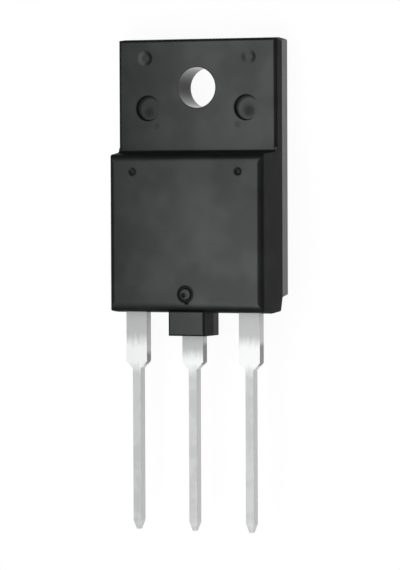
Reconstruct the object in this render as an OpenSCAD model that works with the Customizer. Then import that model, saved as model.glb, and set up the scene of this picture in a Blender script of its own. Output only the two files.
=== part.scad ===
// Fully moulded three-lead power transistor, lying on its flat heat-sink back.
// Origin: centre of the mounting hole on the back face. +Z is the front, +Y the tab end.

/* [Moulding] */
// Width at the parting line
body_w = 15.45; // [15:0.05:17]
// Height from the tab's top edge to the lower end, without the collar
body_h = 24.3; // [23.6:0.05:27]
// Thickness of the thick block, back to front
body_t = 5.5; // [5.2:0.1:6.5]
// Thickness of the mounting tab
tab_t = 2.8; // [2.6:0.05:3.2]
// Height of the tab, from its top edge to the foot of the block's upper wall
tab_h = 10.05; // [9.2:0.05:10.4]
// Radius of the fillet between the tab and the block's upper wall
foot_fillet_r = 0.4; // [0.2:0.05:0.6]
// Height of the parting line of the long sides above the back face
parting_z = 1.7; // [1.4:0.1:1.9]
// Draft of the walls in front of the parting line, in degrees
front_draft = 6; // [3:0.5:10]
// Draft of the walls behind the parting line, in degrees
back_draft = 6.5; // [2:0.5:8]
// Radius of the block's long front edges
block_edge_r = 0.5; // [0.3:0.05:0.8]
// Radius of the block's upper and lower front edges
end_edge_r = 0.8; // [0.3:0.05:0.9]
// Radius of the tab's front edges
tab_edge_r = 0.3; // [0.15:0.05:0.5]
// Radius of the corners seen from the front
corner_r = 0.5; // [0.3:0.05:0.8]

/* [Mounting hole] */
// Diameter of the hole
hole_d = 3.6; // [3.2:0.1:3.8]
// Distance from the tab's top edge to the centre of the hole
hole_from_top = 4.35; // [4.1:0.05:4.7]

/* [Lower end] */
// Height of the step cut into the lower end's back
notch_h = 1.6; // [1.2:0.05:1.9]
// Depth of that step at the lower end, where it meets the back of the collar
notch_out = 2.05; // [1.95:0.05:2.2]
// Width of the collar round the middle lead
collar_w = 3.65; // [3.4:0.05:4.2]
// Height of the collar below the lower end
collar_h = 2; // [1.6:0.05:2.4]
// Depth of the collar's front below the block's front face
collar_set_back = 0.15; // [0.1:0.05:0.5]
// Draft of the collar's sides in front of the leads' mid-plane, in degrees
collar_draft = 3; // [1:0.5:8]
// Draft of the collar's sides behind the leads' mid-plane, in degrees
collar_back_draft = 4.5; // [0.5:0.5:6]
// Radius of the collar's front edges
collar_edge_r = 0.2; // [0.1:0.05:0.4]

/* [Mould marks] */
// Radius of the two large pin marks on the tab
large_mark_r = 1.15; // [0.8:0.05:1.2]
// Radius of the two small pin marks at the tab's top
small_mark_r = 0.7; // [0.5:0.05:0.9]
// Radius of the two dots at the block's upper corners
dot_r = 0.35; // [0.2:0.05:0.5]
// Outer radius of the ring mark at the block's lower end
ring_r = 0.75; // [0.6:0.05:0.9]
// Width of the ring's groove
ring_w = 0.3; // [0.2:0.05:0.35]
// Radius of the two small pits in and beside the ring
pit_r = 0.2; // [0.1:0.05:0.25]
// Depth of the large marks
large_mark_depth = 0.3; // [0.1:0.02:0.4]
// Width of the large marks' sloped wall
mark_wall = 0.1; // [0.06:0.02:0.3]
// Depth of the dots, the ring and its pits
mark_depth = 0.15; // [0.05:0.01:0.2]
// Depth of the small marks, which are shallow dishes
small_mark_depth = 0.06; // [0.03:0.01:0.1]
// Height of the large marks, from the hole's centre down
large_mark_drop = 1.8; // [1.5:0.1:2.4]
// Spacing of the large marks
large_mark_gap = 9.5; // [9:0.1:10]
// Height of the small marks, from the hole's centre up
small_mark_rise = 2.65; // [2:0.05:2.8]
// Spacing of the small marks
small_mark_gap = 10; // [9.4:0.1:10.4]
// Distance of the dots from the block's foot
dot_drop = 1.75; // [1.5:0.05:2.4]
// Spacing of the dots
dot_gap = 10.15; // [9.6:0.05:10.6]
// Distance of the ring's centre from the lower end
ring_rise = 1.7; // [1.6:0.05:2]

/* [Leads] */
// Distance from lead to lead
lead_pitch = 5.45; // [5.3:0.05:5.6]
// Thickness of the lead frame's strip
lead_t = 0.9; // [0.7:0.05:0.95]
// Height of the leads' back above the back face
lead_z = 3; // [2.7:0.1:3.1]
// Width of the leads' wide part
wide_w = 2; // [1.6:0.1:2.4]
// Width of the leads' narrow part
narrow_w = 0.78; // [0.6:0.01:1]
// Length of the wide part below the moulding's lower end
wide_len = 4.35; // [3.6:0.05:5.4]
// Length of the sloped shoulder
shoulder_run = 0.65; // [0.4:0.05:0.9]
// Height from the tab's top edge to the leads' tips
total_h = 43.65; // [38:0.05:48]
// Length of the taper at each tip
tip_run = 0.8; // [0.5:0.1:1.2]
// How much the tip narrows on each side
tip_inset = 0.22; // [0.1:0.02:0.25]

/* [Collector frame] */
// Width of the frame's pad
pad_w = 12; // [11:0.1:12.6]
// Height of the pad's back above the back face
pad_z = 0.8; // [0.7:0.05:0.9]
// Distance from the tab's top edge to the ends of the pad's two arms
pad_top_margin = 3.3; // [2.8:0.1:3.6]
// Distance from the pad's lower edge to the moulding's lower end
pad_end_margin = 3.6; // [3.4:0.1:4]
// Ring of moulding between the mounting hole and the pad
hole_wall = 1.2; // [1:0.05:1.4]
// Width of the neck that joins pad and middle lead
neck_w = 3; // [2.4:0.1:3.4]
// Length of the neck's rise from the pad to the lead
neck_run = 1.8; // [1.6:0.1:2]
// Radius of the half-round locks in the pad's sides
lock_r = 0.8; // [0.5:0.1:1]
// Distance of the upper locks from the block's foot
lock_drop = 2; // [1.5:0.1:3]
// Spacing of the locks along each side
lock_gap = 5; // [4:0.1:5]

/* [Outer leads inside] */
// Distance from the posts' upper edge to the moulding's lower end
post_rise = 4.2; // [4:0.1:4.6]
// Height of the posts
post_h = 2.2; // [1.8:0.1:2.4]
// Width of the posts
post_w = 3.4; // [3:0.1:3.6]

/* [Chip] */
// Side of the square chip
die_w = 6; // [4:0.1:6.4]
// Thickness of the chip
die_t = 0.3; // [0.2:0.02:0.4]
// Distance from the chip's centre to the moulding's lower end
die_rise = 8.6; // [8.2:0.1:9]
// Thickness of the solder under the chip
solder_t = 0.06; // [0.04:0.01:0.1]
// How far the solder reaches past the chip
solder_rim = 0.15; // [0.05:0.01:0.3]

/* [Bond wires] */
// Diameter of the base wire
base_wire_d = 0.3; // [0.2:0.05:0.4]
// Diameter of the emitter wires
emitter_wire_d = 0.5; // [0.3:0.05:0.5]
// Half of the arc that a wire's loop turns through, in degrees
wire_arc = 45; // [40:1:50]
// Distance of the wires' landings from the chip's lower corners, along each side
wire_inset = 1.1; // [0.8:0.1:1.2]
// Spacing of the two emitter wires
emitter_wire_gap = 1.2; // [0.9:0.1:1.3]

/* [Hidden] */

// Heights along Y, from the tab's top edge down
top_y = hole_from_top;
foot_y = top_y - tab_h;
brow_y = foot_y - (body_t - tab_t) * tan(front_draft);
end_y = top_y - body_h;
tip_y = top_y - total_h;
collar_y = end_y - collar_h;
shoulder_y = end_y - wide_len;
pad_top_y = top_y - pad_top_margin;
pad_end_y = end_y + pad_end_margin;
post_y = end_y + post_rise;
die_y = end_y + die_rise;

// Heights along Z, from the back face up
collar_front = body_t - collar_set_back;
lead_mid = lead_z + lead_t / 2;
lead_front = lead_z + lead_t;
pad_front = pad_z + lead_t;
die_z = pad_front + solder_t;
die_front = die_z + die_t;

// Where the collar meets the lower end's drafted wall
collar_root_y = end_y + (body_t - lead_mid) * tan(front_draft);

// Straight wide leads, the posts' outer edges and the wires' landing points
post_out = lead_pitch + wide_w / 2;
post_in = post_out - post_w;
wire_from = die_w / 2 - wire_inset;
wire_end_y = post_y - post_h / 2;

// Length, width and thickness of a wire's flattened foot, in wire diameters
wire_foot = [2.2, 1.4, 0.4];
// Places of the base wire's and the inner emitter wire's landings across a post, as shares of its width
base_landing = 1 / 3;
emitter_landing = 1 / 4;
// Places of the two pits, from the ring's centre
pits = [[-0.17, -0.1], [0.12, -0.7]];
// Width of the sloped wall of a small mark, a dot or a pit, as a share of its radius
dish = 1 / 2;
// Width of the slope of the ring's groove, on each side
groove_wall = ring_w / 3;

// Room that a cutting shape keeps past the face it cuts, and the overlap of joined blocks
over = 1;
// Arcs are set this far off the walls that they meet, so they run out without a sliver
run_out = 0.02;

front_slope = tan(front_draft);
back_slope = tan(back_draft);

function unit(v) = v / norm(v);
function half_angle(p, q, s) = acos(unit(p - q) * unit(s - q)) / 2;
function reach(p, q, s, r) = r / tan(half_angle(p, q, s));
function arc_centre(p, q, s, r) = q + unit(unit(p - q) + unit(s - q)) * r / sin(half_angle(p, q, s));
function tangent_point(q, s, length) = q + unit(s - q) * length;

// Convex outline whose corners are rounded with true arcs, one radius per point
module rounded(points, radii) {
  n = len(points);
  polygon([
    for (i = [0 : n - 1])
      let (p = points[(i + n - 1) % n], q = points[i], s = points[(i + 1) % n], r = radii[i])
        each (r == 0
          ? [q]
          : [tangent_point(q, p, reach(p, q, s, r)), tangent_point(q, s, reach(p, q, s, r))])
  ]);
  for (i = [0 : n - 1]) if (radii[i] > 0)
    translate(arc_centre(points[(i + n - 1) % n], points[i], points[(i + 1) % n], radii[i]))
      circle(radii[i], $fn = 64);
}

// A profile drawn in Y and Z, extruded along X
module along_x(w) {
  rotate([90, 0, 90]) linear_extrude(w, center = true) children();
}

// A profile drawn in X and Z, extruded along Y from y0 to y1
module along_y(y0, y1) {
  translate([0, y1, 0]) rotate([90, 0, 0]) linear_extrude(y1 - y0) children();
}

// Section across the moulding: widest at the parting line, drafted to the back and to the front
module cross_section(w, split_z, z0, z1, drafts, r) {
  back = w / 2 - (split_z - z0) * tan(drafts[0]);
  front = w / 2 - (z1 - split_z) * tan(drafts[1]);
  rounded([[-back, z0], [back, z0], [w / 2, split_z], [front, z1], [-front, z1], [-w / 2, split_z]],
    [0, 0, 0, r, r, 0]);
}

// Side view of the tab, reaching a little into the block
module tab_side() {
  inner_y = foot_y - over;
  rounded([[inner_y, 0], [top_y - parting_z * back_slope, 0], [top_y, parting_z],
    [top_y - (tab_t - parting_z) * front_slope, tab_t], [inner_y, tab_t]],
    [0, 0, 0, tab_edge_r, 0]);
}

// Side view of the thick block; its lower end is drafted both ways from the leads' mid-plane
module block_side() {
  rounded([[foot_y, 0], [foot_y, tab_t], [brow_y, body_t],
    [end_y + (body_t - lead_mid) * front_slope, body_t], [end_y, lead_mid],
    [end_y + lead_mid * back_slope, 0]],
    [0, 0, end_edge_r, end_edge_r, 0, 0]);
  foot_fillet();
}

// Side view of the hollow corner between the tab and the block's upper wall
module foot_fillet() {
  on_tab = [foot_y + over, tab_t];
  corner = [foot_y, tab_t];
  on_wall = [brow_y, body_t];
  length = reach(on_tab, corner, on_wall, foot_fillet_r);
  centre = arc_centre(on_tab, corner, on_wall, foot_fillet_r);
  difference() {
    polygon([tangent_point(corner, on_tab, length), tangent_point(corner, on_wall, length),
      [foot_y - over, tab_t], [foot_y - over, tab_t - over], [foot_y + length, tab_t - over]]);
    translate(tangent_point(centre, corner, 2 * run_out)) circle(foot_fillet_r, $fn = 64);
  }
}

// Side view of the step in the lower end's back
module notch_side() {
  polygon([[end_y + notch_h, -over], [end_y + notch_h, 0],
    [end_y + notch_h - parting_z * back_slope, parting_z],
    [end_y, notch_out], [end_y - over, notch_out], [end_y - over, -over]]);
}

// The moulding's outline from the front, with its four rounded corners
module front_outline() {
  x = body_w / 2 + run_out;
  rounded([[-x, end_y - run_out], [x, end_y - run_out], [x, top_y + run_out], [-x, top_y + run_out]],
    [corner_r, corner_r, corner_r, corner_r]);
}

module tab() {
  intersection() {
    along_x(body_w + over) tab_side();
    along_y(end_y - over, top_y + over)
      cross_section(body_w, parting_z, 0, tab_t, [back_draft, front_draft], tab_edge_r);
  }
}

module block() {
  intersection() {
    along_x(body_w + over) difference() {
      block_side();
      notch_side();
    }
    along_y(end_y - over, top_y + over)
      cross_section(body_w, parting_z, 0, body_t, [back_draft, front_draft], block_edge_r);
  }
}

// Side view of the collar, which stands against the lower end under the block's rounded edge
module collar_side() {
  rounded([[collar_y, notch_out], [collar_root_y, notch_out], [collar_root_y, collar_front],
    [collar_y, collar_front]],
    [0, 0, collar_edge_r, collar_edge_r]);
}

module collar() {
  intersection() {
    along_x(collar_w + over) collar_side();
    along_y(collar_y - over, collar_root_y + over)
      cross_section(collar_w, lead_mid, notch_out, collar_front, [collar_back_draft, collar_draft],
        collar_edge_r);
  }
}

// Cutting cone for a round recess in a front face at z = 0; a negative wall leans outwards
module recess(r, depth, wall) {
  translate([0, 0, -depth]) cylinder(r1 = r - wall, r2 = r + wall, h = 2 * depth, $fn = 64);
}

// Round marks that the mould's pins leave in the front faces
module pin_marks() {
  for (side = [-1, 1]) {
    translate([side * large_mark_gap / 2, -large_mark_drop, tab_t])
      recess(large_mark_r, large_mark_depth, mark_wall);
    translate([side * small_mark_gap / 2, small_mark_rise, tab_t])
      recess(small_mark_r, small_mark_depth, small_mark_r * dish);
    translate([side * dot_gap / 2, foot_y - dot_drop, body_t]) recess(dot_r, mark_depth, dot_r * dish);
  }
  translate([0, end_y + ring_rise, body_t]) {
    difference() {
      recess(ring_r, mark_depth, groove_wall);
      recess(ring_r - ring_w, mark_depth, -groove_wall);
    }
    for (place = pits) translate(place) recess(pit_r, mark_depth, pit_r * dish);
  }
}

// Black thermoset moulding, cast round everything it holds
module moulding() {
  color("#47494a") difference() {
    union() {
      intersection() {
        union() {
          tab();
          block();
        }
        translate([0, 0, -over]) linear_extrude(body_t + 2 * over) front_outline();
      }
      collar();
    }
    translate([0, 0, -over]) cylinder(d = hole_d, h = tab_t + 2 * over, $fn = 96);
    pin_marks();
    collector_frame();
    base_lead();
    emitter_lead();
    chip();
    chip_solder();
    base_wire();
    emitter_wire_inner();
    emitter_wire_outer();
  }
}

// Plan of a lead below y0: wide part, sloped shoulders, narrow part and tapered tip
module lead_plan(y0) {
  half = narrow_w / 2;
  neck_y = shoulder_y - shoulder_run;
  polygon([[-wide_w / 2, y0], [-wide_w / 2, shoulder_y], [-half, neck_y], [-half, tip_y + tip_run],
    [tip_inset - half, tip_y], [half - tip_inset, tip_y], [half, tip_y + tip_run], [half, neck_y],
    [wide_w / 2, shoulder_y], [wide_w / 2, y0]]);
}

// Side view of a straight lead below y0, with the tip's taper
module lead_side(y0) {
  polygon([[y0, lead_z], [tip_y + tip_run, lead_z], [tip_y, lead_z + tip_inset],
    [tip_y, lead_front - tip_inset], [tip_y + tip_run, lead_front], [y0, lead_front]]);
}

// Side view of the neck: a strip of even thickness, bent up from the pad and level again
module neck_side() {
  y0 = pad_end_y;
  y1 = y0 - neck_run;
  bend = lead_t / 2 * tan(atan2(lead_z - pad_z, neck_run) / 2);
  polygon([[y0 + over, pad_z], [y0 - bend, pad_z], [y1 - bend, lead_z], [end_y, lead_z],
    [end_y, lead_front], [y1 + bend, lead_front], [y0 + bend, pad_front], [y0 + over, pad_front]]);
}

// Pad of the frame, forked round the mounting hole, with half-round locks in its sides
module pad() {
  translate([0, 0, pad_z]) linear_extrude(lead_t) difference() {
    translate([-pad_w / 2, pad_end_y]) square([pad_w, pad_top_y - pad_end_y]);
    circle(d = hole_d + 2 * hole_wall, $fn = 96);
    for (side = [-1, 1], step = [0, 1])
      translate([side * pad_w / 2, foot_y - lock_drop - step * lock_gap]) circle(lock_r, $fn = 48);
  }
}

// Stamped and bent frame: pad, neck and middle lead in one piece
module collector_frame() {
  color("#c9ccca") union() {
    pad();
    along_x(neck_w) neck_side();
    intersection() {
      translate([0, 0, lead_z - over]) linear_extrude(lead_t + 2 * over) lead_plan(end_y + over);
      along_x(wide_w + over) lead_side(end_y + over);
    }
  }
}

// One outer lead on the +X side, with the post that its wire is bonded to
module outer_lead() {
  intersection() {
    translate([0, 0, lead_z - over]) linear_extrude(lead_t + 2 * over) union() {
      translate([lead_pitch, 0]) lead_plan(post_y - post_h / 2);
      translate([post_in, post_y - post_h]) square([post_w, post_h]);
    }
    translate([lead_pitch, 0, 0]) along_x(2 * post_w) lead_side(post_y);
  }
}

module emitter_lead() {
  color("#c9ccca") outer_lead();
}

module base_lead() {
  color("#c9ccca") mirror([1, 0, 0]) outer_lead();
}

module chip() {
  color("#5b6068") translate([-die_w / 2, die_y - die_w / 2, die_z]) cube([die_w, die_w, die_t]);
}

module chip_solder() {
  side = die_w + 2 * solder_rim;
  color("#a9abad") translate([-side / 2, die_y - side / 2, pad_front]) cube([side, side, solder_t]);
}

// Wire looped from a point on the chip to a point on a post, with a flattened foot at each end
module bond_wire(from, to, d) {
  span = norm(to - from);
  rise = lead_front - die_front;
  tilt = atan2(rise, span);
  chord = norm([span, rise]);
  loop_r = chord / 2 / sin(wire_arc);
  down = loop_r * cos(wire_arc);
  foot = d * wire_foot;
  translate([from.x, from.y, 0]) rotate(atan2(to.y - from.y, to.x - from.x)) {
    difference() {
      translate([span / 2 + down * sin(tilt), 0, die_front + rise / 2 - down * cos(tilt)])
        rotate([90, 0, 0])
          rotate_extrude(angle = 2 * wire_arc, start = 90 + tilt - wire_arc, $fn = 96)
            translate([loop_r, 0]) circle(d = d, $fn = 32);
      translate([-d, -d, die_front - d]) cube([2 * d, 2 * d, d]);
      translate([span - 2 * d, -d, lead_front - d]) cube([3 * d, 2 * d, d]);
    }
    translate([-foot.x / 2, -foot.y / 2, die_front]) cube(foot);
    translate([span - foot.x / 2, -foot.y / 2, lead_front]) cube(foot);
  }
}

module base_wire() {
  color("#d5d7d8")
    bond_wire([-wire_from, die_y - wire_from],
      [-(post_in + post_w * base_landing), wire_end_y], base_wire_d);
}

module emitter_wire_inner() {
  color("#d5d7d8")
    bond_wire([wire_from - emitter_wire_gap, die_y - wire_from],
      [post_in + post_w * emitter_landing, wire_end_y], emitter_wire_d);
}

module emitter_wire_outer() {
  color("#d5d7d8")
    bond_wire([wire_from, die_y - wire_from + emitter_wire_gap / 2],
      [post_in + post_w * emitter_landing + emitter_wire_gap, wire_end_y], emitter_wire_d);
}

moulding();
collector_frame();
base_lead();
emitter_lead();
chip();
chip_solder();
base_wire();
emitter_wire_inner();
emitter_wire_outer();
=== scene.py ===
import math
import bpy
from mathutils import Matrix, Vector

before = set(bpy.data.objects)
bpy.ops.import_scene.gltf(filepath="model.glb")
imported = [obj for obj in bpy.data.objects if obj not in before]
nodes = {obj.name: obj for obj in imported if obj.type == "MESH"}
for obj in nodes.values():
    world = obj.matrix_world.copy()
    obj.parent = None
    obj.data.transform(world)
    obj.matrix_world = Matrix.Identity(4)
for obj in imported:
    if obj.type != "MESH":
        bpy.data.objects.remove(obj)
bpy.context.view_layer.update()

mm = 0.001


# helpers

# shader nodes stand in a plain grid, in the order in which they are made
nodeGrid = {"columns": 10, "across": 220, "down": 340}


def newMaterial(name):
    mat = bpy.data.materials.new(name)
    mat.use_nodes = True
    mat.node_tree.nodes.clear()
    return mat


def addNode(tree, kind, **values):
    # a value sets a node's attribute, or the input socket of that name, with _ for a space
    row, column = divmod(len(tree.nodes), nodeGrid["columns"])
    node = tree.nodes.new(kind)
    node.location = (column * nodeGrid["across"], -row * nodeGrid["down"])
    for key, value in values.items():
        if hasattr(node, key):
            setattr(node, key, value)
        else:
            node.inputs[key.replace("_", " ")].default_value = value
    return node


def feed(tree, socket, value):
    # links a socket to another node's output, or sets it to a plain value
    if isinstance(value, bpy.types.NodeSocket):
        tree.links.new(value, socket)
    else:
        socket.default_value = value


def mathNode(tree, operation, *terms):
    node = addNode(tree, "ShaderNodeMath", operation=operation)
    for socket, term in zip(node.inputs, terms):
        feed(tree, socket, term)
    return node.outputs[0]


def inverse(tree, mask):
    return mathNode(tree, "SUBTRACT", 1.0, mask)


def vectorNode(tree, operation, a, b):
    node = addNode(tree, "ShaderNodeVectorMath", operation=operation)
    feed(tree, node.inputs[0], a)
    feed(tree, node.inputs[1], b)
    return node


def splitVector(tree, vector):
    node = addNode(tree, "ShaderNodeSeparateXYZ")
    tree.links.new(vector, node.inputs[0])
    return node.outputs


# a Mix node has its factor first, the two numbers at places 2 and 3, and the two colours at 6 and 7

def mixColor(tree, factor, a, b):
    node = addNode(tree, "ShaderNodeMix", data_type="RGBA")
    for place, value in ((0, factor), (6, a), (7, b)):
        feed(tree, node.inputs[place], value)
    return node.outputs[2]


def mixNumber(tree, factor, a, b):
    node = addNode(tree, "ShaderNodeMix", data_type="FLOAT")
    for place, value in ((0, factor), (2, a), (3, b)):
        feed(tree, node.inputs[place], value)
    return node.outputs[0]


def rangeNode(tree, value, fromMin, fromMax, toMin, toMax):
    # carries one range over to another with a smooth step, and keeps to its ends outside
    node = addNode(tree, "ShaderNodeMapRange", interpolation_type="SMOOTHSTEP", From_Min=fromMin,
                   From_Max=fromMax, To_Min=toMin, To_Max=toMax)
    tree.links.new(value, node.inputs["Value"])
    return node.outputs["Result"]


def softStep(tree, value, edge, soft, below=0, above=1):
    return rangeNode(tree, value, edge - soft, edge + soft, below, above)


def distanceMask(tree, point, centre, radius, soft):
    # 1 inside a radius round an upright axis through centre, in mm, and 0 outside, with a soft rim
    flat = vectorNode(tree, "MULTIPLY", point, (1, 1, 0))
    away = vectorNode(tree, "DISTANCE", flat.outputs[0], (*centre, 0))
    return softStep(tree, away.outputs["Value"], radius, soft, 1, 0)


def pointInMillimetres(tree):
    where = addNode(tree, "ShaderNodeTexCoord")
    scaled = addNode(tree, "ShaderNodeVectorMath", operation="SCALE", Scale=1 / mm)
    tree.links.new(where.outputs["Object"], scaled.inputs[0])
    return scaled.outputs[0]


def facing(tree):
    # the surface's direction in the part's frame, as its X, Y and Z
    where = addNode(tree, "ShaderNodeTexCoord")
    return splitVector(tree, where.outputs["Normal"])


def bumpNode(tree, height, depth):
    node = addNode(tree, "ShaderNodeBump", Strength=1.0, Distance=depth * mm)
    tree.links.new(height, node.inputs["Height"])
    return node


def finishMaterial(mat, shader, **inputs):
    # inputs are what varies over the surface, by the shader's own names, with _ for a space
    tree = mat.node_tree
    for key, output in inputs.items():
        tree.links.new(output, shader.inputs[key.replace("_", " ")])
    out = addNode(tree, "ShaderNodeOutputMaterial")
    tree.links.new(shader.outputs[0], out.inputs["Surface"])
    return mat


def setMaterial(obj, mat):
    obj.data.materials.clear()
    obj.data.materials.append(mat)


# camera at the viewing angle of the photo

cameraSettings = {
    "azimuth": 23.705,      # degrees from the front face's normal towards +X
    "elevation": 1.738,     # degrees towards the tab's top edge
    "roll": 0.234,          # degrees
    "distance": 320.081,    # mm
    "target": (0.119, -17.517, 2.5),
    "focalPixels": 3604.325,
    "longSidePixels": 570,
    "sensorWidth": 36,      # mm
    "clip": (0.01, 20),     # metres
}


def makeCamera(settings):
    az, el, roll = (math.radians(settings[k]) for k in ("azimuth", "elevation", "roll"))
    back = Vector((math.sin(az) * math.cos(el), math.sin(el), math.cos(az) * math.cos(el)))
    right = Vector((math.cos(az), 0, -math.sin(az)))
    up = back.cross(right)
    x = right * math.cos(roll) - up * math.sin(roll)
    y = right * math.sin(roll) + up * math.cos(roll)
    data = bpy.data.cameras.new("photoCamera")
    data.sensor_fit = "AUTO"
    data.sensor_width = settings["sensorWidth"]
    data.lens = settings["focalPixels"] * settings["sensorWidth"] / settings["longSidePixels"]
    data.clip_start, data.clip_end = settings["clip"]
    camera = bpy.data.objects.new("photoCamera", data)
    place = (Vector(settings["target"]) + back * settings["distance"]) * mm
    turn = Matrix((x, y, back)).transposed().to_4x4()
    camera.matrix_world = Matrix.Translation(place) @ turn
    bpy.context.scene.collection.objects.link(camera)
    bpy.context.scene.camera = camera


makeCamera(cameraSettings)
print("camera placed")


# floor, world and lamps

floorSettings = {
    "size": 3.0,             # metres
    "drop": 0.01,            # mm, how far it lies below the part's flat back
    "color": (0.86, 0.86, 0.855, 1),
    "cameraShare": 0.08,     # share of the floor's own shading that the camera sees
    "cameraGlow": 0.935,     # even light that the camera sees with it
}

worldSettings = {
    "color": (1.0, 1.0, 1.0, 1),
    "light": 0.40,           # what matt surfaces get from all round
    "seen": 1.0,             # what the camera sees
    "behind": 1.00,          # what shiny surfaces mirror of the white backdrop
    "around": 0.07,          # what they mirror of the dark studio elsewhere
    "axis": (-0.20, 0.0, -0.98),  # direction of the backdrop's middle
    "fade": (0.73, 0.87),    # the backdrop's edge, as cosines from that direction
}

# sizes and distances in metres; aim is the point that a lamp faces, in mm, and direction leads to the lamp
lampSettings = {
    "frontStrip": {
        "aim": (10, -12, 3), "direction": (-0.41, -0.03, 0.91), "distance": 0.05,
        "size": (0.025, 0.16), "radiance": 1.75, "color": (0.945, 1.0, 0.995),
    },
    "fill": {
        "aim": (0, -15, 3), "direction": (0.20, -0.65, 0.73), "distance": 0.60,
        "size": (0.45, 0.45), "radiance": 2.4, "color": (1.0, 1.0, 1.0),
    },
}


def floorMaterial(settings):
    # a plain matt floor, which the camera sees as an even pale ground with a trace of shadow
    mat = newMaterial("paleFloor")
    tree = mat.node_tree
    base = addNode(tree, "ShaderNodeBsdfDiffuse", Color=settings["color"])
    path = addNode(tree, "ShaderNodeLightPath")
    black = addNode(tree, "ShaderNodeEmission", Strength=0)
    part = addNode(tree, "ShaderNodeMixShader", Fac=settings["cameraShare"])
    light = addNode(tree, "ShaderNodeEmission", Strength=settings["cameraGlow"])
    both = addNode(tree, "ShaderNodeAddShader")
    pick = addNode(tree, "ShaderNodeMixShader")
    tree.links.new(black.outputs[0], part.inputs[1])
    tree.links.new(base.outputs[0], part.inputs[2])
    tree.links.new(part.outputs[0], both.inputs[0])
    tree.links.new(light.outputs[0], both.inputs[1])
    tree.links.new(path.outputs["Is Camera Ray"], pick.inputs[0])
    tree.links.new(base.outputs[0], pick.inputs[1])
    tree.links.new(both.outputs[0], pick.inputs[2])
    return finishMaterial(mat, pick)


def makeFloor(settings):
    half = settings["size"] / 2
    mesh = bpy.data.meshes.new("floor")
    corners = [(-half, -half, 0), (half, -half, 0), (half, half, 0), (-half, half, 0)]
    mesh.from_pydata(corners, [], [(0, 1, 2, 3)])
    floor = bpy.data.objects.new("floor", mesh)
    floor.location.z = -settings["drop"] * mm
    bpy.context.scene.collection.objects.link(floor)
    setMaterial(floor, floorMaterial(settings))
    floor.visible_glossy = False


def makeWorld(settings):
    world = bpy.data.worlds.new("studio")
    bpy.context.scene.world = world
    world.use_nodes = True
    tree = world.node_tree
    tree.nodes.clear()
    path = addNode(tree, "ShaderNodeLightPath")
    where = addNode(tree, "ShaderNodeTexCoord")
    axis = Vector(settings["axis"]).normalized()
    towards = vectorNode(tree, "DOT_PRODUCT", where.outputs["Generated"], axis)
    mirrored = rangeNode(tree, towards.outputs["Value"], *settings["fade"], settings["around"],
                         settings["behind"])
    shown = addNode(tree, "ShaderNodeBackground", Color=settings["color"], Strength=settings["light"])
    for ray, strength in (("Is Glossy Ray", mirrored), ("Is Camera Ray", settings["seen"])):
        light = addNode(tree, "ShaderNodeBackground", Color=settings["color"])
        feed(tree, light.inputs["Strength"], strength)
        pick = addNode(tree, "ShaderNodeMixShader")
        tree.links.new(path.outputs[ray], pick.inputs[0])
        tree.links.new(shown.outputs[0], pick.inputs[1])
        tree.links.new(light.outputs[0], pick.inputs[2])
        shown = pick
    out = addNode(tree, "ShaderNodeOutputWorld")
    tree.links.new(shown.outputs[0], out.inputs["Surface"])


def makeLamp(name, settings):
    data = bpy.data.lights.new(name, "AREA")
    data.shape = "RECTANGLE"
    data.size, data.size_y = settings["size"]
    data.energy = settings["radiance"] * math.pi * data.size * data.size_y
    data.color = settings["color"]
    lamp = bpy.data.objects.new(name, data)
    aim = Vector(settings["aim"]) * mm
    away = Vector(settings["direction"]).normalized()
    lamp.location = aim + away * settings["distance"]
    lamp.rotation_euler = away.to_track_quat("Z", "X").to_euler()
    lamp.visible_camera = False
    bpy.context.scene.collection.objects.link(lamp)


makeFloor(floorSettings)
makeWorld(worldSettings)
for lampName, lampValues in lampSettings.items():
    makeLamp(lampName, lampValues)
bpy.context.scene.view_settings.view_transform = "Standard"
print("floor, world and lamps made")


# effects that several materials share

# the noise behind each effect, and the ranges that it usually keeps to
effectNoise = {
    "Grain": {"Detail": 3, "Roughness": 0.55},
    "Cloud": {"Detail": 2, "Roughness": 0.55},
    "Lines": {"Detail": 3, "Roughness": 0.6},
}
grainRange = (0.3, 0.7)
cloudRange = (0.35, 0.65)
noiseMiddle = 0.5


def groupWithSockets(name, inputs, outputs):
    group = bpy.data.node_groups.new(name, "ShaderNodeTree")
    for label, kind, default in inputs:
        socket = group.interface.new_socket(label, in_out="INPUT", socket_type=kind)
        if default is not None:
            socket.default_value = default
    for label, kind in outputs:
        group.interface.new_socket(label, in_out="OUTPUT", socket_type=kind)
    return group, addNode(group, "NodeGroupInput"), addNode(group, "NodeGroupOutput")


def makeGrainGroup():
    # fine even grain of a moulded or cast surface, with slow cloudy patches under it
    group, start, end = groupWithSockets(
        "fineGrain",
        [("Point", "NodeSocketVector", None), ("Grain Size", "NodeSocketFloat", 0.1),
         ("Cloud Size", "NodeSocketFloat", 4.0)],
        [("Grain", "NodeSocketFloat"), ("Cloud", "NodeSocketFloat")])
    for label in ("Grain", "Cloud"):
        scale = mathNode(group, "DIVIDE", 1.0, start.outputs[label + " Size"])
        noise = addNode(group, "ShaderNodeTexNoise", **effectNoise[label])
        group.links.new(start.outputs["Point"], noise.inputs["Vector"])
        group.links.new(scale, noise.inputs["Scale"])
        group.links.new(noise.outputs["Fac"], end.inputs[label])
    return group


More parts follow.
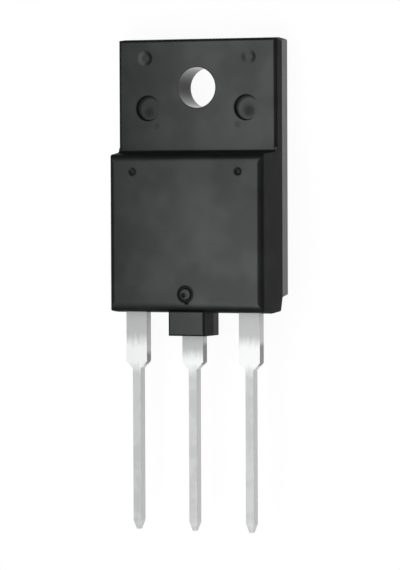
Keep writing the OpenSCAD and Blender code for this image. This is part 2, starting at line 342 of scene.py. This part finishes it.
def makeDrawGroup():
    # long lines that rolling and plating leave along a strip's length
    group, start, end = groupWithSockets(
        "drawLines",
        [("Point", "NodeSocketVector", None), ("Line Width", "NodeSocketFloat", 0.05),
         ("Line Length", "NodeSocketFloat", 4.0)],
        [("Lines", "NodeSocketFloat")])
    across = mathNode(group, "DIVIDE", 1.0, start.outputs["Line Width"])
    along = mathNode(group, "DIVIDE", 1.0, start.outputs["Line Length"])
    stretch = addNode(group, "ShaderNodeCombineXYZ")
    for socket, value in zip(stretch.inputs, (across, along, across)):
        group.links.new(value, socket)
    product = vectorNode(group, "MULTIPLY", start.outputs["Point"], stretch.outputs[0])
    noise = addNode(group, "ShaderNodeTexNoise", Scale=1.0, **effectNoise["Lines"])
    group.links.new(product.outputs[0], noise.inputs["Vector"])
    group.links.new(noise.outputs["Fac"], end.inputs["Lines"])
    return group


def placeGroup(tree, group, point, **values):
    node = addNode(tree, "ShaderNodeGroup", node_tree=group)
    tree.links.new(point, node.inputs["Point"])
    for key, value in values.items():
        node.inputs[key.replace("_", " ")].default_value = value
    return node


grainGroup = makeGrainGroup()
drawGroup = makeDrawGroup()
print("shared effects made")


# moulding

mouldingSettings = {
    "color": (0.0085, 0.0090, 0.0088, 1),
    "cloudColor": (0.0115, 0.0122, 0.0120, 1),
    "refraction": 1.55,      # the epoxy's index
    "grainSize": 0.12,       # mm
    "grainHeight": 0.0009,   # mm
    "cloudSize": 4.0,        # mm
    # shares of the surface's direction that tell the walls apart: along Y for the ends, along X for the
    # sides, and along Z for what faces the back, below the parting line
    "endFacing": (0.25, 0.85),
    "sideFacing": 0.7,
    "backFacing": -0.02,
    "collar": (2.4, -19.6),  # mm, half width of the collar's zone and its upper end
    "roughness": (0.28, 0.31),
    "wallRoughness": 0.50,   # the walls that face along Y, and the collar's sides
    "shine": 0.5,            # specular level
    "shadeShine": 0.02,       # painted shade on the walls that face along Y, and in the marks
    "collarShine": 0.25,     # painted shade on the collar's sides
    "stripShine": 0.23,      # painted shade on the side walls below the parting line
    "cloudShine": (0.91, 1.13),  # how the clouds change the shine
    # inside this radius, in mm, the mould's polished core pin leaves the hole's wall smooth
    "boreRadius": 1.9,
    "boreSoft": 0.02,
    "boreRoughness": 0.12,
    "boreShine": (0.26, 0.48),   # painted shade, lower on its sides than at its upper and lower end
    "boreFacing": (0.20, 0.85),
    # painted shade on the block's front, above the level, which keeps only a share of its shine at its
    # upper end; in mm
    "topShade": {"level": 4.0, "from": -12.5, "to": -6.5, "share": 0.76},
    "tabShare": 0.93,        # what the tab and the lower parts of the walls keep
    "markPlaces": ((-4.65, -2.0), (4.85, -2.0)),   # mm, where the pins' worn ends dull the marks
    "markRadius": 0.55,
    "markSoft": 0.45,
    "markRoughness": 0.55,
    # painted shade in the moulded marks, as crescents and rings that stand for the shade of their walls,
    # with dark spots and smudges besides; in mm: a spot's centre and radius, and the unshaded part inside
    # it
    "shadeAndSmudges": (
        {"centre": (-4.79, -1.80), "radius": 1.13, "strength": 0.8, "unshaded": ((-4.58, -1.90), 0.99)},
        {"centre": (4.69, -1.80), "radius": 1.14, "strength": 0.8, "unshaded": ((4.91, -1.90), 0.99)},
        {"centre": (-4.75, -2.15), "radius": 0.40, "strength": 0.35},
        {"centre": (4.95, -2.15), "radius": 0.45, "strength": 0.35},
        {"centre": (-3.90, -3.40), "radius": 0.28, "strength": 0.25},
        {"centre": (3.90, -3.30), "radius": 0.28, "strength": 0.3},
        {"centre": (0.0, -18.25), "radius": 0.80, "strength": 0.8, "unshaded": ((0.0, -18.25), 0.45)},
        {"centre": (-5.075, -7.45), "radius": 0.38, "strength": 0.6},
        {"centre": (5.075, -7.45), "radius": 0.40, "strength": 0.7},
        {"centre": (0.12, -18.95), "radius": 0.25, "strength": 0.95},
        {"centre": (-0.17, -18.35), "radius": 0.22, "strength": 0.8},
    ),
    "shadeSoft": 0.14,
}


def markShadeMask(tree, point, settings):
    # the painted shade of the marks, spot by spot, which lowers their shine
    shadeAndSmudges = 0.0
    soft = settings["shadeSoft"]
    for spot in settings["shadeAndSmudges"]:
        outer = distanceMask(tree, point, spot["centre"], spot["radius"], soft)
        part = mathNode(tree, "MULTIPLY", outer, spot["strength"])
        if "unshaded" in spot:
            inner = distanceMask(tree, point, *spot["unshaded"], soft)
            part = mathNode(tree, "MULTIPLY", part, inverse(tree, inner))
        shadeAndSmudges = mathNode(tree, "MAXIMUM", shadeAndSmudges, part)
    return shadeAndSmudges


def mouldingMasks(tree, point, settings):
    # steep says how far a wall faces along Y; ends are the walls that do, collar is the collar's sides,
    # strip the side walls below the parting line, and front all that doesn't face the back
    towards = facing(tree)
    place = splitVector(tree, point)
    halfWidth, top = settings["collar"]
    bore = distanceMask(tree, point, (0, 0), settings["boreRadius"], settings["boreSoft"])
    steep = mathNode(tree, "ABSOLUTE", towards[1])
    ends = rangeNode(tree, steep, *settings["endFacing"], 0, 1)
    sides = mathNode(tree, "GREATER_THAN", mathNode(tree, "ABSOLUTE", towards[0]), settings["sideFacing"])
    near = mathNode(tree, "LESS_THAN", mathNode(tree, "ABSOLUTE", place[0]), halfWidth)
    low = mathNode(tree, "LESS_THAN", place[1], top)
    backward = mathNode(tree, "LESS_THAN", towards[2], settings["backFacing"])
    front = inverse(tree, backward)
    return {
        "bore": bore,
        "steep": steep,
        "ends": mathNode(tree, "MULTIPLY", ends, inverse(tree, bore)),
        "collar": mathNode(tree, "MULTIPLY", mathNode(tree, "MULTIPLY", near, low), sides),
        "strip": mathNode(tree, "MULTIPLY", backward, sides),
        "front": front,
        "shadeAndSmudges": mathNode(tree, "MULTIPLY", markShadeMask(tree, point, settings), front),
    }


def mouldingRoughness(tree, point, grain, masks, settings):
    rough = rangeNode(tree, grain, *grainRange, *settings["roughness"])
    for centre in settings["markPlaces"]:
        worn = distanceMask(tree, point, centre, settings["markRadius"], settings["markSoft"])
        worn = mathNode(tree, "MULTIPLY", worn, masks["front"])
        rough = mixNumber(tree, worn, rough, settings["markRoughness"])
    rough = mixNumber(tree, masks["bore"], rough, settings["boreRoughness"])
    walls = mathNode(tree, "MAXIMUM", masks["ends"], masks["collar"])
    return mixNumber(tree, walls, rough, settings["wallRoughness"])


def mouldingShine(tree, point, clouds, masks, settings):
    # painted shade: the strip, the bore's sides, the collar's sides, the ends, the marks and the block's
    # upper end get less shine than the front
    shine = mixNumber(tree, masks["strip"], settings["shine"], settings["stripShine"])
    # painted shade on the hole's wall, darker on its sides
    boreShine = rangeNode(tree, masks["steep"], *settings["boreFacing"], *settings["boreShine"])
    shine = mixNumber(tree, masks["bore"], shine, boreShine)
    shine = mixNumber(tree, masks["collar"], shine, settings["collarShine"])
    # painted shade: the ends and the marks are left with almost no shine
    dark = mathNode(tree, "MAXIMUM", masks["ends"], masks["shadeAndSmudges"])
    shine = mixNumber(tree, dark, shine, settings["shadeShine"])
    # painted shade, darker towards the block's upper end
    dull = settings["topShade"]
    place = splitVector(tree, point)
    thick = mathNode(tree, "GREATER_THAN", place[2], dull["level"])
    share = rangeNode(tree, place[1], dull["from"], dull["to"], 1, dull["share"])
    share = mixNumber(tree, thick, settings["tabShare"], share)
    cloudShare = rangeNode(tree, clouds, *cloudRange, *settings["cloudShine"])
    return mathNode(tree, "MULTIPLY", shine, mathNode(tree, "MULTIPLY", share, cloudShare))


def mouldingMaterial(settings):
    mat = newMaterial("epoxyMoulding")
    tree = mat.node_tree
    point = pointInMillimetres(tree)
    effects = placeGroup(tree, grainGroup, point, Grain_Size=settings["grainSize"],
                         Cloud_Size=settings["cloudSize"])
    grain, clouds = effects.outputs["Grain"], effects.outputs["Cloud"]
    masks = mouldingMasks(tree, point, settings)
    patches = rangeNode(tree, clouds, *cloudRange, 0, 1)
    color = mixColor(tree, patches, settings["color"], settings["cloudColor"])
    rough = mouldingRoughness(tree, point, grain, masks, settings)
    shine = mouldingShine(tree, point, clouds, masks, settings)
    bump = bumpNode(tree, grain, settings["grainHeight"])
    tree.links.new(inverse(tree, masks["bore"]), bump.inputs["Strength"])
    shader = addNode(tree, "ShaderNodeBsdfPrincipled", IOR=settings["refraction"])
    return finishMaterial(mat, shader, Base_Color=color, Roughness=rough, Specular_IOR_Level=shine,
                          Normal=bump.outputs[0])


setMaterial(nodes["moulding"], mouldingMaterial(mouldingSettings))
print("moulding finished")


# leads and frame

leadSettings = {
    "color": (0.58, 0.575, 0.57, 1),
    "patchColor": (0.64, 0.635, 0.63, 1),
    "metallic": 0.55,
    "roughness": (0.46, 0.60),
    "sideRoughness": (0.30, 0.42),
    # painted light: the punched sides get a paler, less metallic copy of the tin, so that they render
    # brighter
    "sideMetallic": 0.30,
    "litSideColor": (0.82, 0.825, 0.82, 1),
    "litSlopeColor": (0.97, 0.97, 0.965, 1),   # painted highlight on the shoulders' sides
    "dullColor": (0.55, 0.545, 0.54, 1),    # just under the moulding
    "highlightColor": (0.95, 0.94, 0.935, 1),  # painted highlight on the lower half of the wide part
    "shearColor": (0.38, 0.38, 0.37, 1),    # where the bar between the leads was cut off
    # shares of the surface's direction, along X for the punched sides and along Y for the slopes
    "sideFacing": (0.80, 0.95),
    "slopeFacing": (0.40, 0.60),
    # heights along Y and lengths, in mm; the middle lead's dull end is lower by middleDrop
    "dullEnd": -22.45,
    "middleDrop": 1.15,
    "middleEdge": (1.9, 2.1),    # where the middle lead's zone ends, to either side
    "highlightEnd": -25.05,
    "endSoft": 0.70,
    "streakWidth": 0.30,     # the streaks that the dull part ends in
    "streakLength": 1.6,
    "streakReach": 1.3,      # how far they move its end
    "shear": (-23.55, -24.55),   # upper and lower end of the cut
    "shearSoft": (0.3, 0.1),
    "shearRise": 0.9,        # how much higher the cut begins on the middle and the emitter lead
    "shearRiseFrom": -2.0,   # these two leads lie beyond it along X
    "lineWidth": 0.06,
    "lineLength": 5.0,
    "lineHeight": 0.003,
    "grainSize": 0.04,
    "patchSize": 1.6,
    "patchRange": (0.40, 0.62),
    "mixedRange": (0.7, 1.3),    # what lines and grain come to together
    # rounding of the sharp edges, with lengths in mm and angles in degrees
    "edges": {"radius": 0.02, "segments": 2, "weldGap": 0.001, "flatAngle": 0.2, "sharpAngle": 30},
}


def sideMasks(tree, settings):
    # one mask for the punched sides, whose normals point along X, and one for the slopes between them
    towards = facing(tree)
    side = rangeNode(tree, mathNode(tree, "ABSOLUTE", towards[0]), *settings["sideFacing"], 0, 1)
    slope = rangeNode(tree, mathNode(tree, "ABSOLUTE", towards[1]), *settings["slopeFacing"], 0, 1)
    return side, slope


def heightMasks(tree, place, point, settings):
    # the dull part just under the moulding, which ends in streaks, and the painted highlight below it
    streaks = placeGroup(tree, drawGroup, point, Line_Width=settings["streakWidth"],
                         Line_Length=settings["streakLength"])
    wave = mathNode(tree, "SUBTRACT", streaks.outputs["Lines"], noiseMiddle)
    height = mathNode(tree, "ADD", place[1], mathNode(tree, "MULTIPLY", wave, settings["streakReach"]))
    middle = rangeNode(tree, mathNode(tree, "ABSOLUTE", place[0]), *settings["middleEdge"], 1, 0)
    raised = mathNode(tree, "ADD", height, mathNode(tree, "MULTIPLY", middle, settings["middleDrop"]))
    dull = softStep(tree, raised, settings["dullEnd"], settings["endSoft"])
    wide = softStep(tree, height, settings["highlightEnd"], settings["endSoft"])
    return dull, mathNode(tree, "MULTIPLY", wide, inverse(tree, dull))


def shearMask(tree, place, edge, settings):
    # where the bars between the leads were cut off, on the leads' sides and slopes
    top, bottom = settings["shear"]
    topSoft, bottomSoft = settings["shearSoft"]
    raised = mathNode(tree, "GREATER_THAN", place[0], settings["shearRiseFrom"])
    rise = mathNode(tree, "MULTIPLY", settings["shearRise"], raised)
    begun = softStep(tree, mathNode(tree, "SUBTRACT", place[1], rise), top, topSoft, 1, 0)
    notOver = softStep(tree, place[1], bottom, bottomSoft)
    return mathNode(tree, "MULTIPLY", edge, mathNode(tree, "MULTIPLY", begun, notOver))


def tinMaterial(settings):
    mat = newMaterial("satinTinPlate")
    tree = mat.node_tree
    point = pointInMillimetres(tree)
    place = splitVector(tree, point)
    drawn = placeGroup(tree, drawGroup, point, Line_Width=settings["lineWidth"],
                       Line_Length=settings["lineLength"])
    cast = placeGroup(tree, grainGroup, point, Grain_Size=settings["grainSize"],
                      Cloud_Size=settings["patchSize"])
    lines = drawn.outputs["Lines"]
    side, slope = sideMasks(tree, settings)
    dull, highlight = heightMasks(tree, place, point, settings)
    sheared = shearMask(tree, place, mathNode(tree, "MAXIMUM", side, slope), settings)
    patch = rangeNode(tree, cast.outputs["Cloud"], *settings["patchRange"], 0, 1)
    color = mixColor(tree, patch, settings["color"], settings["patchColor"])
    # layers over the tin: the dull part, the painted highlight, painted light on the sides and shoulders,
    # and the cut
    for mask, layer in ((dull, "dullColor"), (highlight, "highlightColor"), (side, "litSideColor"),
                        (slope, "litSlopeColor"), (sheared, "shearColor")):
        color = mixColor(tree, mask, color, settings[layer])
    mixed = mathNode(tree, "ADD", lines, cast.outputs["Grain"])
    faceRough = rangeNode(tree, mixed, *settings["mixedRange"], *settings["roughness"])
    sideRough = rangeNode(tree, mixed, *settings["mixedRange"], *settings["sideRoughness"])
    rough = mixNumber(tree, side, faceRough, sideRough)
    # painted light: the sides are less metallic, so that they take more of the all-round light
    metallic = mixNumber(tree, side, settings["metallic"], settings["sideMetallic"])
    bump = bumpNode(tree, lines, settings["lineHeight"])
    shader = addNode(tree, "ShaderNodeBsdfPrincipled")
    return finishMaterial(mat, shader, Base_Color=color, Roughness=rough, Metallic=metallic,
                          Normal=bump.outputs[0])


def softenEdges(obj, settings):
    # joins the split vertices and flat facets, then rounds what is still sharp
    weld = obj.modifiers.new("weld", "WELD")
    weld.merge_threshold = settings["weldGap"] * mm
    flat = obj.modifiers.new("flat", "DECIMATE")
    flat.decimate_type = "DISSOLVE"
    flat.angle_limit = math.radians(settings["flatAngle"])
    bevel = obj.modifiers.new("bevel", "BEVEL")
    bevel.width = settings["radius"] * mm
    bevel.segments = settings["segments"]
    bevel.limit_method = "ANGLE"
    bevel.angle_limit = math.radians(settings["sharpAngle"])
    bevel.harden_normals = True
    bevel.miter_outer = "MITER_ARC"


tin = tinMaterial(leadSettings)
for leadName in ("collector_frame", "base_lead", "emitter_lead"):
    setMaterial(nodes[leadName], tin)
    softenEdges(nodes[leadName], leadSettings["edges"])
print("leads finished")


# chip, solder and wires

# sizes and heights in mm
insideSettings = {
    "chip": {
        "color": (0.10, 0.11, 0.14, 1), "patch": (0.16, 0.17, 0.20, 1), "patchSize": 1.0,
        "metallic": 0.6, "roughness": (0.12, 0.25), "grain": 0.05, "height": 0.0005,
    },
    "chip_solder": {
        "color": (0.42, 0.42, 0.43, 1), "patch": (0.52, 0.52, 0.53, 1), "patchSize": 1.0,
        "metallic": 1.0, "roughness": (0.35, 0.55), "grain": 0.1, "height": 0.003,
    },
    "wire": {
        "color": (0.80, 0.80, 0.81, 1), "patch": (0.88, 0.88, 0.89, 1), "patchSize": 1.0,
        "metallic": 1.0, "roughness": (0.2, 0.35), "grain": 0.06, "height": 0.002,
    },
}


def insideMaterial(name, settings):
    mat = newMaterial(name)
    tree = mat.node_tree
    point = pointInMillimetres(tree)
    effects = placeGroup(tree, grainGroup, point, Grain_Size=settings["grain"],
                         Cloud_Size=settings["patchSize"])
    color = mixColor(tree, effects.outputs["Cloud"], settings["color"], settings["patch"])
    rough = rangeNode(tree, effects.outputs["Grain"], *grainRange, *settings["roughness"])
    bump = bumpNode(tree, effects.outputs["Grain"], settings["height"])
    shader = addNode(tree, "ShaderNodeBsdfPrincipled", Metallic=settings["metallic"])
    return finishMaterial(mat, shader, Base_Color=color, Roughness=rough, Normal=bump.outputs[0])


setMaterial(nodes["chip"], insideMaterial("silicon", insideSettings["chip"]))
setMaterial(nodes["chip_solder"], insideMaterial("softSolder", insideSettings["chip_solder"]))
wireMetal = insideMaterial("drawnAluminium", insideSettings["wire"])
for wireName in ("base_wire", "emitter_wire_inner", "emitter_wire_outer"):
    setMaterial(nodes[wireName], wireMetal)
print("inner pieces finished")
